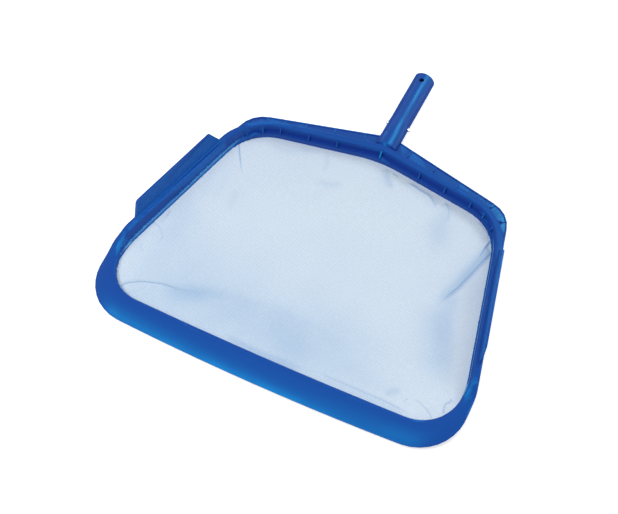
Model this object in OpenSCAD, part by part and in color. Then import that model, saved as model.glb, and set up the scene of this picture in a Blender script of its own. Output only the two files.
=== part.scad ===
// Flat leaf skimmer for a pool: a moulded frame with a wide front lip, raised side wings and a
// stiffening ridge, a slack mesh panel moulded into it, and a handle tube with a spring button clip.
// Millimetres. X runs along the lip, +Y towards the handle, +Z up; z = 0 is the surface it lies on.

/* [Mesh opening] */
// Half the width of the mesh opening, behind the front corners
mesh_half_w = 224.7; // [180:0.1:260]
// Length of the mesh opening from the lip to the crossing of its two back edges
mesh_len = 322.5; // [290:0.5:380]
// Half the width at which the side edges and the back edges of the opening cross
mesh_back_half_w = 173.2; // [140:0.1:195]
// How far the middle of the back stands behind the crossings of the side and back edges
back_rise = 30.7; // [20:0.1:45]
// Distance from the lip to where the sides start to taper
mesh_taper_start = 68.4; // [60:0.1:100]
// How far the middle of the lip bows out past its corners
lip_bow = 2.7; // [0:0.1:6]
// Corner radius of the opening at the lip
mesh_front_r = 50; // [35:1:55]
// Radius where the sides of the opening start to taper
mesh_taper_r = 139; // [80:1:150]
// Corner radius of the opening at the back
mesh_back_r = 64; // [45:1:80]
// Radius of the opening behind its middle
mesh_apex_r = 169; // [80:1:250]

/* [Frame] */
// Width of the front lip
lip_w = 33.7; // [24:0.1:45]
// Width of the frame beside the opening
side_w = 15.3; // [14:0.1:22]
// Depth of the frame behind the opening, at the crossing of its outer edges
back_w = 38.7; // [34:0.1:50]
// How far the outer back corner stands out sideways from the corner of the opening
corner_out_x = 8.1; // [7:0.1:12]
// How far the outer back corner stands back from the corner of the opening
corner_out_y = 23.7; // [20:0.1:32]
// Outer corner radius at the lip
outer_front_r = 60; // [50:1:68]
// Outer corner radius at the back
outer_back_r = 38; // [30:1:50]
// Height of the ridge above the centre line of the handle
ridge_rise = 12; // [10:0.1:18]
// Distance from the opening to the ridge, behind the opening
ridge_in = 6.1; // [5.5:0.1:9]
// Distance from the opening to the top of the wall, beside the opening
side_in = 4.4; // [3.6:0.1:5]
// How much higher the ridge is beside the front ends of the wings than behind the opening
side_lift = 2.4; // [0:0.1:3]
// Width of the ridge
ridge_w = 8.5; // [7:0.1:11]
// How much narrower the ridge is round the back corner
corner_pinch = 0.4; // [0:0.1:2]
// Depth of the mesh below the centre line of the handle
mesh_drop = 7; // [4:0.1:9]
// Fall of the lip from its inner edge to its outer edge
lip_fall = 6.2; // [3:0.1:8]
// Thickness of the moulded walls
wall = 2.2; // [1.8:0.1:2.6]
// Height of the bead along the outer back edge
bead_h = 0.8; // [0.4:0.1:2]
// Fall of the back rail from the ridge to that bead
back_fall = 1.6; // [0:0.1:3]

/* [Wings] */
// Length of a wing at its foot
wing_len = 159; // [110:1:160]
// Distance from the lip to the front end of a wing
wing_start = 94; // [92:0.5:110]
// Distance from the opening to the inner face of a wing
wing_in = 9; // [8:0.1:9.6]
// Height of a wing, measured along its own face
wing_h = 27.6; // [10:0.2:34]
// Lean of a wing, outwards from upright
wing_lean = 5.2; // [0:0.2:14]
// Thickness of a wing
wing_t = 2.4; // [1.6:0.1:2.8]
// How much shorter a wing is at its top, at its front end
wing_front_slant = 8.5; // [4:0.5:20]
// How much shorter a wing is at its top, at its back end
wing_back_slant = 16.5; // [4:0.5:24]
// Radius of the top corners of a wing
wing_r = 5; // [1:0.5:8]

/* [Ribs] */
// Thickness of the ribs
rib_t = 1.8; // [1.2:0.1:2.4]
// Distances of the ribs from the middle, along the back rail
rib_first = 57; // [45:1:62]
// Step to the next rib
rib_step = 37.5; // [30:0.5:42]

/* [Handle] */
// Outside diameter of the handle tube, a slip fit in a standard pool pole
tube_od = 28.5; // [26:0.1:30]
// Wall of the handle tube
tube_wall = 2.4; // [2:0.1:3]
// How much slimmer the handle tube is beyond the buttons, so that a pole starts easily
entry_relief = 0.25; // [0.2:0.05:0.5]
// Height of the centre line of the handle above the foot of the frame
axis_h = 16; // [15.5:0.1:20]
// Length of handle tube outside the hub
tube_reach = 111.5; // [96:0.5:160]
// Length of handle tube inside the hub
tube_seat = 19; // [14:0.5:20]
// Distance of the end of the hub from the crossing of the outer back edges
hub_inset = 4; // [2:0.5:6]
// How far the hub stands proud of the handle tube
hub_step = 0.25; // [0:0.05:1]
// Wall of the hub round the spigot of the handle tube
hub_wall = 1.6; // [1.3:0.05:2]
// Wall of that spigot
spigot_wall = 1.8; // [1.4:0.05:2.6]
// Radial gap between the handle tube and the hub
hub_gap = 0.04; // [0.02:0.01:0.1]
// Diameter of the hole near the end of the handle tube
end_hole_d = 6.6; // [4:0.1:7]
// Distance of that hole from the end of the handle tube
end_hole_at = 13; // [8:0.1:20]

/* [Button clip] */
// Diameter of a button
button_d = 6; // [5:0.1:7]
// How far a button stands out of the handle tube
button_out = 4; // [2.5:0.1:4.5]
// Distance of the buttons from the end of the handle tube
button_at = 87; // [70:0.5:88]
// Radial gap between a button and its hole
button_gap = 0.1; // [0.05:0.01:0.2]
// Diameter of the rivet stem of a button
rivet_d = 3.2; // [2.4:0.1:3.6]
// Thickness of the spring strip
strip_t = 0.8; // [0.5:0.05:1]
// Width of the spring strip
strip_w = 10; // [8:0.5:11]
// Length of the spring from its bow to the buttons
clip_len = 52; // [40:1:54]
// Radius inside the bow of the spring
bow_r = 3.4; // [2:0.1:5]

/* [Mesh panel] */
// Thickness of the mesh
mesh_t = 0.7; // [0.5:0.05:1]
// How far the mesh runs on inside the moulded frame
mesh_grip = 2; // [1.4:0.1:2.2]
// Sag of the mesh in its middle
mesh_sag = 2.6; // [0:0.1:4]
// Height of the folds in the mesh
fold_h = 1.7; // [0:0.1:2.5]

/* [Hidden] */
blue = [0.13, 0.35, 0.66];
pale = [0.83, 0.89, 0.94];
steel = [0.75, 0.77, 0.79];
// A margin that carries a cut past a face
cut = 4;
// How deep a fused form reaches into the one that carries it
sink = 0.6;

// Heights
axis_z = axis_h;
mesh_z = axis_z - mesh_drop;
ledge_top = mesh_z + 0.6;
ledge_bottom = mesh_z - wall;
ridge_z = axis_z + ridge_rise;
web_top = axis_z + wall / 2;
web_bottom = axis_z - wall / 2;
lip_z = axis_z + 1.2;

// Places along Y. The object is centred on its own length.
mesh_side_len = mesh_len - back_rise;
hub_end = lip_w + mesh_len + back_w - hub_inset;
total_len = hub_end + tube_reach;
front_y = -total_len / 2;
lip_y = front_y + lip_w;
hub_y = front_y + hub_end;
tube_end_y = hub_y + tube_reach;
button_y = tube_end_y - button_at;

// The crossings of the straight edges, on the +X side from the lip to the middle of the back
mesh_corners = [[mesh_half_w, lip_y + lip_bow], [mesh_half_w, lip_y + mesh_taper_start],
    [mesh_back_half_w, lip_y + mesh_side_len], [0, lip_y + mesh_len]];
// How much further back than the bow the outer front corner lies, and how much nearer to the
// lip the outside starts to taper
corner_set = 1.9;
taper_lead = 9.2;
outer_corners = [[mesh_half_w + side_w, front_y + lip_bow + corner_set],
    [mesh_half_w + side_w, lip_y + mesh_taper_start - taper_lead],
    [mesh_back_half_w + corner_out_x, lip_y + mesh_side_len + corner_out_y],
    [0, lip_y + mesh_len + back_w]];
mesh_radii = [mesh_front_r, mesh_taper_r, mesh_back_r, mesh_apex_r];
outer_taper_r = 60;
outer_apex_r = 40;
outer_radii = [outer_front_r, outer_taper_r, outer_back_r, outer_apex_r];

// Steps along each stretch of the outline
front_steps = 5;
arc_steps = [12, 8, 10, 6];
arc_last = [12, 8, 10, 3];
edge_steps = [1, 7, 5];

function unit(v) = v / norm(v);
function mix(a, b, t) = a + (b - a) * t;
function smooth(t) = let (u = max(0, min(1, t))) u * u * (3 - 2 * u);

// Directions from the centre of the arc that rounds the corner b between its neighbours a and c
function arc_turn(a, b, c, steps, last) =
    let (u = unit(a - b), v = unit(c - b), half = acos(u * v) / 2, out = -unit(u + v))
    let (first = atan2(out[1], out[0]) + half - 90)
    [for (i = [0:last]) let (turn = first + (180 - 2 * half) * i / steps) [cos(turn), sin(turn)]];
// Points of that arc
function corner_arc(a, b, c, r, steps, last) =
    let (u = unit(a - b), v = unit(c - b), half = acos(u * v) / 2)
    [for (turn = arc_turn(a, b, c, steps, last)) b + unit(u + v) * r / sin(half) + r * turn];

function mirrored(p) = [-p[0], p[1]];

// Half outline on the +X side, from the middle of the lip to the middle of the back
function before(corners, i) = i == 0 ? [0, corners[0][1]] : corners[i - 1];
function after(corners, i) = i == 3 ? mirrored(corners[2]) : corners[i + 1];
function half_outline(corners, radii, middle_y) =
    let (arcs = [for (i = [0:3]) corner_arc(before(corners, i), corners[i], after(corners, i),
        radii[i], arc_steps[i], arc_last[i])])
    let (lip_end = arcs[0][0])
    concat(
        [for (i = [0:front_steps - 1]) let (t = i / front_steps)
            [lip_end[0] * t, mix(middle_y, lip_end[1], t * t)]],
        [for (i = [0:3]) each concat(arcs[i],
            i == 3 ? [] : [for (k = [1:1:edge_steps[i] - 1])
                mix(arcs[i][arc_steps[i]], arcs[i + 1][0], k / edge_steps[i])])]);
// Outward directions at the same points
function half_normals(corners) =
    let (turns = [for (i = [0:3]) arc_turn(before(corners, i), corners[i], after(corners, i),
        arc_steps[i], arc_last[i])])
    concat(
        [for (i = [0:front_steps - 1]) turns[0][0]],
        [for (i = [0:3]) each concat(turns[i],
            i == 3 ? [] : [for (k = [1:1:edge_steps[i] - 1]) turns[i][arc_steps[i]]])]);

inner_half = half_outline(mesh_corners, mesh_radii, lip_y);
outer_half = half_outline(outer_corners, outer_radii, front_y);

// A whole ring from its half
function ring(half) = concat(half, [for (i = [len(half) - 2:-1:1]) mirrored(half[i])]);
inner_ring = ring(inner_half);
outer_ring = ring(outer_half);
normals = ring(half_normals(mesh_corners));

// Distance from point p in direction u to a closed line
function cross_2d(a, b) = a[0] * b[1] - a[1] * b[0];
function reach(p, u, line) = min([for (i = [0:len(line) - 1])
    let (a = line[i] - p, d = line[(i + 1) % len(line)] - line[i], turn = cross_2d(u, d))
    let (s = cross_2d(a, d) / turn, t = cross_2d(a, u) / turn)
    if (s > 0 && t >= 0 && t <= 1) s]);

// How much of a station is lip, and how much of its inner and outer part is back rail. Each
// changes over a stretch, as [start, length] from the lip or from the back corner. The ridge
// comes nearer to the opening round the back corner, and is narrower there.
corner_y = lip_y + mesh_side_len;
lip_stretch = [40, 42];
lift_stretch = [-164, 170];
ridge_stretch = [-32, 50];
trough_stretch = [-36, 34];
channel_stretch = [-54, 40];
pinch_stretch = [-12, 26];
function along(y, stretch) = smooth((y - stretch[0]) / stretch[1]);
function lip_share(y) = 1 - along(y - lip_y, lip_stretch);
function trough_share(y) = along(y - corner_y, trough_stretch);
function channel_share(y) = along(y - corner_y, channel_stretch);
function ridge_place(y) = mix(side_in, ridge_in, along(y - corner_y, ridge_stretch));
function side_z(y) = ridge_z + side_lift * (1 - along(y - corner_y, lift_stretch));
function ridge_width(y) =
    ridge_w - corner_pinch * (1 - smooth(abs(y - corner_y - pinch_stretch[0]) / pinch_stretch[1]));

// Sections of the frame, as [distance from the opening, height], from the lower inner edge
// up over the visible side and back along the underside. w is the width of the frame there,
// r the distance from the opening to the ridge, e the width of the ridge and z its height.
foot_in = 2.2;
function side_section(w, r, z) = [
    [0, ledge_bottom], [0, ledge_top], [foot_in - 0.6, ledge_top + 0.4],
    [r - 0.4, z - 1.6], [r + 1, z], [w - 1.4, z],
    [w, z - 1.2], [w, z - 1.7], [w, z - 2.2], [w, z - 2.7],
    [w, z - 3.2], [w - 0.6, z - 3.5], [w - 1.6, z - 3.3],
    [w - 2, z - wall - 0.2], [w - 3, z - wall], [r + wall, z - wall],
    [foot_in + wall, 0], [foot_in, 0], [foot_in, ledge_bottom],
    [foot_in * 0.7, ledge_bottom], [foot_in * 0.35, ledge_bottom]];
bead_z = web_top - back_fall + bead_h;
function back_section(w, r, e) = let (outer = r + e) [
    [0.4, ledge_bottom], [0.4, web_top - 0.4], [r - 0.3, web_top],
    [r, ridge_z - 1.2], [r + 1, ridge_z], [outer - 1, ridge_z],
    [outer, ridge_z - 1.2], [outer + 0.3, web_top], [w - wall, bead_z - bead_h],
    [w - wall + 0.2, bead_z], [w - 0.3, bead_z],
    [w, bead_z - bead_h - wall - 0.8], [w - wall, bead_z - bead_h - wall], [outer - wall, web_bottom],
    [outer - wall, ridge_z - wall], [r + wall, ridge_z - wall],
    [r + wall, 0], [r, 0], [r, web_bottom], [wall + 0.4, web_bottom],
    [wall + 0.4, ledge_bottom]];
lip_steps = [0.1, 0.25, 0.42, 0.6, 0.78, 0.93];
lip_foot = 5.2;
lip_curve = 1.7;
function lip_top(t, fall) = lip_z - fall * pow(t, lip_curve);
function lip_section(w, fall) = let (start = 2.4, run = w - start - 0.6) concat(
    [[0.3, ledge_bottom], [0.3, lip_z - 1.6], [0.9, lip_z - 0.5], [start, lip_z]],
    [for (t = lip_steps) [start + run * t, lip_top(t, fall)]],
    [[w, lip_top(1, fall) - 0.5], [w - 0.4, lip_top(1, fall) - wall]],
    [for (t = [0.8, 0.55, 0.35]) [start + run * t, lip_top(t, fall) - wall - 0.1]],
    [[lip_foot + wall, lip_top(0.2, fall) - wall - 0.1], [lip_foot + wall, 0],
    [lip_foot, 0], [lip_foot, lip_z - wall - 0.9], [wall + 0.3, lip_z - wall - 1.1],
    [wall + 0.3, ledge_bottom]]);

// The ridge runs straight to a corner behind the middle of the opening, where the opening is
// rounded: the distance between them at point a in direction u
rail_u = unit(mesh_corners[3] - mesh_corners[2]);
rail_n = [rail_u[1], -rail_u[0]];
function kink(a, u) = abs(a[0]) > mesh_corners[2][0] / 2 ? 0
    : (mesh_corners[3] - [abs(a[0]), a[1]]) * rail_n / ([abs(u[0]), u[1]] * rail_n);

// The section at station i, square to the opening. Its points from first_outer to last_outer
// belong to the outer part of the frame.
first_outer = 5;
last_outer = 14;
side_fall = 0.6;
fall_len = 70;
function station(i) =
    let (a = inner_ring[i], u = normals[i], w = reach(a, u, outer_ring))
    let (lip = lip_share(a[1]), fall = mix(lip_fall, side_fall, smooth((a[1] - lip_y) / fall_len)))
    let (r = ridge_place(a[1]) + (a[1] > 0 ? kink(a, u) : 0))
    let (s = side_section(w, r, side_z(a[1])), k = back_section(w, r, ridge_width(a[1])), l = lip_section(w, fall))
    [for (j = [0:len(s) - 1])
        let (back = j < first_outer || j > last_outer ? trough_share(a[1]) : channel_share(a[1]))
        let (p = s[j] * (1 - lip - back) + k[j] * back + l[j] * lip)
        [a[0] + u[0] * p[0], a[1] + u[1] * p[0], p[1]]];

// A closed ring of sections joined by triangles
module lofted_ring(sections) {
    n = len(sections);
    m = len(sections[0]);
    polyhedron(
        [for (s = sections) each s],
        [for (i = [0:n - 1]) for (j = [0:m - 1])
            let (a = i * m + j, b = i * m + (j + 1) % m, c = (i + 1) % n * m + (j + 1) % m,
                d = (i + 1) % n * m + j)
            each [[a, c, b], [a, d, c]]]);
}

module frame_shell() {
    lofted_ring([for (i = [0:len(inner_ring) - 1]) station(i)]);
}

// Places on the back rail. The rail runs straight from its corner arc to the middle.
rail_a = mesh_corners[2];
rail_b = mesh_corners[3];
rail_turn = atan2(rail_n[1], rail_n[0]);
corner_mid = let (u = unit(mesh_corners[1] - rail_a), half = acos(u * rail_u) / 2)
    rail_a + unit(u + rail_u) * mesh_back_r / sin(half);
function on_rail(x) = rail_b + (rail_a - rail_b) * x / rail_a[0];
function round_corner(angle) = corner_mid + mesh_back_r * [cos(angle), sin(angle)];
apex = inner_half[len(inner_half) - 1];
apex_ridge = ridge_in + kink(apex, [0, 1]);

// Puts a shape drawn as [distance from the opening, height] on the frame at point p
module across_frame(p, angle, thickness) {
    translate([p[0], p[1], 0]) rotate([0, 0, angle]) rotate([90, 0, 0])
        linear_extrude(thickness, center = true) children();
}

// Ribs stand in the trough between the opening and the ridge
trough_low = web_top - sink;
rib_start = 1.4;
rib_foot_h = 2;
rib_top = ridge_z - 3;
function trough_rib(r) = [[rib_start, trough_low], [r + sink, trough_low], [r + sink, rib_top],
    [r - sink, rib_top], [rib_start, web_top + rib_foot_h]];
module trough_ribs() {
    across_frame(apex, 90, rib_t) polygon(trough_rib(apex_ridge));
    for (side = [0, 1]) mirror([side, 0, 0]) {
        for (k = [0:2]) across_frame(on_rail(rib_first + k * rib_step), rail_turn, rib_t)
            polygon(trough_rib(ridge_in));
        for (angle = corner_ribs) let (p = round_corner(angle))
            across_frame(p, angle, rib_t) polygon(trough_rib(ridge_place(p[1])));
    }
}
corner_ribs = [60, 42];

// Ribs stand in the channel between the ridge and the bead of the outer edge
ridge_out = ridge_in + ridge_w;
module channel_rib(p, angle, start, width) {
    low = bead_z - bead_h - sink;
    across_frame(p, angle, rib_t) polygon([[start - sink, low], [start - sink, rib_top - 1],
        [start + 1, rib_top - 1], [mix(start, width, 0.55), bead_z + 0.6],
        [width - wall + sink, bead_z], [width - wall + sink, low]]);
}
// Width of the back rail at distance x from the middle, square to the opening
function rail_width(x) = reach(on_rail(x), [cos(rail_turn), sin(rail_turn)], outer_ring);
module channel_ribs() {
    for (side = [0, 1]) mirror([side, 0, 0]) {
        for (x = channel_rib_places) channel_rib(on_rail(x), rail_turn, ridge_out, rail_width(x));
        for (angle = outer_corner_ribs) let (p = round_corner(angle), n = [cos(angle), sin(angle)])
            channel_rib(p, angle, ridge_place(p[1]) + ridge_width(p[1]), reach(p, n, outer_ring));
    }
}
channel_rib_places = [27, 66, 103, 131];
outer_corner_ribs = [64.5, 47.5];

// A wing stands on the ridge beside the opening and leans outwards. Its foot follows the ridge,
// and a small fillet runs along it.
side_u = unit(mesh_corners[2] - mesh_corners[1]);
wing_foot = mesh_corners[1] + side_u * (lip_y + wing_start - mesh_corners[1][1]) / side_u[1]
    + wing_in * [side_u[1], -side_u[0]];
wing_sunk = 1.6;
wing_rise = [for (s = [0, wing_len]) side_z(wing_foot[1] + s * side_u[1]) - ridge_z];
wing_face = let (foot = [wing_len, wing_rise[1]], front = [wing_front_slant, wing_h])
    let (back = [wing_len - wing_back_slant, wing_h])
    concat([[0, wing_rise[0] - wing_sunk], [wing_len, wing_rise[1] - wing_sunk], foot],
        corner_arc(foot, back, front, wing_r, 6, 6),
        corner_arc(back, front, [0, wing_rise[0]], wing_r, 6, 6), [[0, wing_rise[0]]]);
wing_fillet = 1.3;
module wing() {
    translate([wing_foot[0], wing_foot[1], ridge_z]) rotate([0, 0, atan2(side_u[1], side_u[0])]) {
        rotate([90 + wing_lean, 0, 0]) linear_extrude(wing_t) polygon(wing_face);
        hull() for (end = [0, 1]) translate([end * wing_len, 0, wing_rise[end]])
            rotate([90, 0, 90]) linear_extrude(0.1, center = true)
                polygon([[-sink, -sink], [wing_fillet, -sink], [wing_fillet, 0], [0, wing_fillet],
                    [-sink, wing_fillet]]);
    }
}

// The hub holds the spigot of the handle tube. Its front end runs in under the ridge.
tube_r = tube_od / 2;
hub_r = tube_r + hub_step;
seat_r = hub_r - hub_wall;
hub_front_y = apex[1] + apex_ridge + ridge_w - 1;
hub_slope = 3;
module along_y(y, r, length) {
    translate([0, y, axis_z]) rotate([-90, 0, 0]) cylinder(r = r, h = length, $fn = 96);
}
module hub() {
    nose_r = ridge_rise - 0.4;
    along_y(apex[1] + apex_ridge + wall - sink, nose_r, ridge_w);
    translate([0, hub_front_y, axis_z]) rotate([-90, 0, 0])
        cylinder(r1 = nose_r, r2 = hub_r, h = hub_slope, $fn = 96);
    along_y(hub_front_y + hub_slope, hub_r, hub_y - hub_front_y - hub_slope);
}

// Vestiges of the moulding gates, two on the ridge and two on the lip
gate_d = 3;
gate_h = 0.5;
gate_x = 107;
lip_gate_x = 104;
lip_gate_in = 3.5;
module gate_marks() {
    for (side = [0, 1]) mirror([side, 0, 0]) {
        ridge_mid = on_rail(gate_x) + (ridge_in + ridge_w / 2) * [cos(rail_turn), sin(rail_turn)];
        translate([ridge_mid[0], ridge_mid[1], ridge_z - sink])
            cylinder(d = gate_d, h = sink + gate_h, $fn = 24);
        translate([lip_gate_x, lip_y - lip_gate_in, lip_z - wall + sink])
            cylinder(d = gate_d, h = wall - sink + gate_h, $fn = 24);
    }
}

module frame() color(blue) difference() {
    union() {
        frame_shell();
        trough_ribs();
        channel_ribs();
        for (side = [0, 1]) mirror([side, 0, 0]) wing();
        hub();
        gate_marks();
    }
    along_y(hub_y - tube_seat, seat_r, tube_seat + cut);
    along_y(hub_y, tube_r + hub_gap, cut);
}

// Handle tube, closed at its end, with a hole for each button and one in its upper wall near
// the end. Its spigot sits in the hub.
end_gap = 0.1;
bore_r = tube_r - tube_wall;
spigot_r = seat_r - hub_gap;
spigot_bore = spigot_r - spigot_wall;
tube_start_y = hub_y - tube_seat + end_gap;
tube_len = tube_end_y - tube_start_y;
button_hole_r = button_d / 2 + button_gap;
entry_r = tube_r - entry_relief;
entry_start = button_y + button_d / 2 + 1 - tube_start_y;
module handle_tube() color(blue) difference() {
    translate([0, tube_start_y, axis_z]) rotate([-90, 0, 0]) rotate_extrude($fn = 96)
        polygon([[spigot_bore, 0], [spigot_r - 0.4, 0], [spigot_r, 0.4], [spigot_r, tube_seat],
            [tube_r, tube_seat], [tube_r, entry_start - 4 * entry_relief], [entry_r, entry_start],
            [entry_r, tube_len - 0.8], [entry_r - 0.8, tube_len],
            [0, tube_len], [0, tube_len - tube_wall], [bore_r, tube_len - tube_wall],
            [bore_r, tube_seat + 4], [spigot_bore, tube_seat + 2]]);
    translate([-tube_od, button_y, axis_z]) rotate([0, 90, 0])
        cylinder(r = button_hole_r, h = 2 * tube_od, $fn = 48);
    translate([0, tube_end_y - end_hole_at, axis_z]) cylinder(d = end_hole_d, h = tube_od, $fn = 48);
}

// Spring strip. Its pads lie just inside the bore, where the strip is as wide as strip_w.
pad_out = sqrt(bore_r * bore_r - strip_w * strip_w / 4) - 0.2;
pad_mid = pad_out - strip_t / 2;
pad_half = 6;
tip_len = 3;
bow_mid = bow_r + strip_t / 2;
bow_y = button_y + clip_len - bow_mid;
bow_steps = 16;
half_strip = concat(
    [[pad_mid - 1.4, button_y - pad_half - tip_len], [pad_mid, button_y - pad_half],
    [pad_mid, button_y + pad_half]],
    [for (i = [0:bow_steps / 2]) let (a = i * 180 / bow_steps)
        [bow_mid * cos(a), bow_y + bow_mid * sin(a)]]);
strip_path = concat(half_strip, [for (i = [len(half_strip) - 2:-1:0]) mirrored(half_strip[i])]);

// Outline of a strip of thickness t along a path, mitred at its corners
function side_of(path, i, t) = let (last = len(path) - 1)
    let (d1 = i == last ? unit(path[last] - path[i - 1]) : unit(path[i + 1] - path[i]))
    let (d0 = i == 0 ? d1 : unit(path[i] - path[i - 1]), m = unit(d0 + d1))
    path[i] + [-m[1], m[0]] * t / (m * d1);
function strip_outline(path, t) = concat(
    [for (i = [0:len(path) - 1]) side_of(path, i, -t / 2)],
    [for (i = [len(path) - 1:-1:0]) side_of(path, i, t / 2)]);
rivet_gap = 0.05;
module clip_spring() color(steel) difference() {
    translate([0, 0, axis_z - strip_w / 2]) linear_extrude(strip_w)
        polygon(strip_outline(strip_path, strip_t));
    translate([-tube_od, button_y, axis_z]) rotate([0, 90, 0])
        cylinder(r = rivet_d / 2 + rivet_gap, h = 2 * tube_od, $fn = 48);
}

// A button: a domed pin riveted through the pad of the spring
seat_gap = 0.02;
head_t = 1.1;
head_r = rivet_d / 2 + 1;
button_end = tube_r + button_out;
dome_h = button_d * 0.3;
dome_steps = 6;
button_profile = concat(
    [[0, pad_out - strip_t - seat_gap - head_t], [head_r, pad_out - strip_t - seat_gap - head_t],
    [head_r, pad_out - strip_t - seat_gap], [rivet_d / 2, pad_out - strip_t - seat_gap],
    [rivet_d / 2, pad_out + seat_gap], [button_d / 2, pad_out + seat_gap]],
    [for (i = [0:dome_steps - 1]) let (a = i * 90 / dome_steps)
        [button_d / 2 * cos(a), button_end - dome_h + dome_h * sin(a)]],
    [[0, button_end]]);
module button_pin() {
    translate([0, button_y, axis_z]) rotate([0, 90, 0])
        rotate_extrude($fn = 36) polygon(button_profile);
}
module right_button() color(steel) button_pin();
module left_button() color(steel) mirror([1, 0, 0]) button_pin();

// Folds of the mesh, each as [start, end, half width, share of fold_h]. A place is given as
// shares of mesh_half_w from the middle and of mesh_len from the lip.
folds = [
    [[0.783, 0.829], [0.725, 0.637], 11, 1], [[0.819, 0.78], [0.614, 0.457], 13, 0.9],
    [[0.668, 0.395], [0.912, 0.085], 15, 0.9], [[0.356, 0.953], [0.596, 0.538], 16, -0.8],
    [[-0.881, 0.036], [-0.36, 0.197], 13, 0.8], [[-0.792, 0.854], [-0.632, 0.674], 11, 0.7],
    [[-0.267, 0.86], [-0.089, 0.488], 24, -0.4], [[0.49, 0.067], [0.846, 0.067], 10, 0.7]];
function on_mesh(share) = [share[0] * mesh_half_w, lip_y + share[1] * mesh_len];
function to_segment(p, a, b) = let (t = max(0, min(1, (p - a) * (b - a) / ((b - a) * (b - a)))))
    norm(p - a - (b - a) * t);
function fold_sum(p) =
    let (h = [for (f = folds)
        f[3] * exp(-pow(to_segment(p, on_mesh(f[0]), on_mesh(f[1])) / f[2], 2))])
    fold_h * (h * [for (f = folds) 1]);

// The mesh is a thin sheet with a rim that reaches into the frame
mid_share = 0.42;
mesh_mid = [0, lip_y + mesh_len * mid_share];
mesh_rings = 11;
mesh_stride = 2;
mesh_ring = [for (i = [0:mesh_stride:len(inner_ring) - 1]) inner_ring[i]];
mesh_grips = [for (i = [0:mesh_stride:len(inner_ring) - 1]) normals[i] * mesh_grip];
function sheet_lift(p, f) = (1 - pow(f, 3)) * (fold_sum(p) - mesh_sag * (1 - f * f));
function sheet_points(half_t) = concat([[mesh_mid[0], mesh_mid[1], mesh_z - mesh_sag + half_t]],
    [for (r = [1:mesh_rings]) for (q = mesh_ring) let (f = r / mesh_rings, p = mix(mesh_mid, q, f))
        [p[0], p[1], mesh_z + half_t + sheet_lift(p, f)]],
    [for (i = [0:len(mesh_ring) - 1]) let (p = mesh_ring[i] + mesh_grips[i])
        [p[0], p[1], mesh_z + half_t]]);
module mesh_panel() {
    n = len(mesh_ring);
    upper = sheet_points(mesh_t / 2);
    count = len(upper);
    last = 1 + mesh_rings * n;
    color(pale) polyhedron(
        concat(upper, sheet_points(-mesh_t / 2)),
        concat(
            [for (i = [0:n - 1]) let (k = (i + 1) % n)
                each [[0, 1 + k, 1 + i], [count, count + 1 + i, count + 1 + k]]],
            [for (r = [0:mesh_rings - 1]) for (i = [0:n - 1])
                let (a = 1 + r * n + i, b = 1 + r * n + (i + 1) % n, c = b + n, d = a + n)
                each [[a, b, c], [a, c, d], [a + count, c + count, b + count],
                    [a + count, d + count, c + count]]],
            [for (i = [0:n - 1]) let (a = last + i, b = last + (i + 1) % n)
                each [[a, b, b + count], [a, b + count, a + count]]]));
}

frame();
mesh_panel();
handle_tube();
clip_spring();
left_button();
right_button();
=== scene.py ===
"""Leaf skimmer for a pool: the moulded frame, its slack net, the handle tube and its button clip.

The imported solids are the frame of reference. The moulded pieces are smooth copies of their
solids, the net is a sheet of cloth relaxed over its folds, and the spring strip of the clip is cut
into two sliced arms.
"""

import logging
import math
from dataclasses import dataclass
from enum import Enum

import bmesh
import bpy
import numpy as np
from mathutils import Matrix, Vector


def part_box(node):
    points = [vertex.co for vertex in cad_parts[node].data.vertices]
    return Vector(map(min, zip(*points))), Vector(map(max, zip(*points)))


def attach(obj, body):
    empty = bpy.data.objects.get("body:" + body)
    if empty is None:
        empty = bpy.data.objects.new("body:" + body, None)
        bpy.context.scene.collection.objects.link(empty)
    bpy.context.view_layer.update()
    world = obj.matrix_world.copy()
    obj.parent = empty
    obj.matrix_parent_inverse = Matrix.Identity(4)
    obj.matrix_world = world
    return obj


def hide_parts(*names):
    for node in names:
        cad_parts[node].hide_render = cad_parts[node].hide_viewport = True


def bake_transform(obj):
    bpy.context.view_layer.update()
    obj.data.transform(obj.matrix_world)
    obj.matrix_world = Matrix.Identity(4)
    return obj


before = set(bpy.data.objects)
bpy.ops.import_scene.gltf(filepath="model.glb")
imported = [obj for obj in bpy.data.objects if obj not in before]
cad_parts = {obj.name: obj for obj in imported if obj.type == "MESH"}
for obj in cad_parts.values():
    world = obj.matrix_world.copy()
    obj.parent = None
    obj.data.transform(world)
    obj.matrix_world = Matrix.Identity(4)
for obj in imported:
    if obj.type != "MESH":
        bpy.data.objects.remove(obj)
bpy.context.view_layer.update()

LOG = logging.getLogger("leaf_skimmer")
MM = 0.001
WELD = 0.004 * MM

Colour = tuple[float, float, float]
Point2 = tuple[float, float]
Array = np.ndarray
Shape = bmesh.types.BMesh
Piece = bpy.types.Object
Material = bpy.types.Material
NodeTree = bpy.types.NodeTree
Node = bpy.types.Node
Socket = bpy.types.NodeSocket


class Slot(Enum):
    """Material slots of the record."""

    FRAME = "frame"
    MESH = "mesh"
    HANDLE = "handle"
    SPRING = "spring"


class Body(Enum):
    """Bodies of the record."""

    SKIMMER = "skimmer"
    LEFT_BUTTON = "left_button"
    RIGHT_BUTTON = "right_button"


def srgb(red: int, green: int, blue: int) -> Colour:
    """Linear colour of a display colour, whose channels run from 0 to 255."""
    channels = (value / 255 for value in (red, green, blue))
    return tuple(c / 12.92 if c <= 0.04045 else ((c + 0.055) / 1.055) ** 2.4 for c in channels)


def solid_shape(node: str) -> Shape:
    """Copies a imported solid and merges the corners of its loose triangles.

    Args:
        node: The solid's node.

    Returns:
        The merged copy.
    """
    shape = bmesh.new()
    shape.from_mesh(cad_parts[node].data)
    bmesh.ops.remove_doubles(shape, verts=shape.verts, dist=WELD)
    return shape


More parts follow.
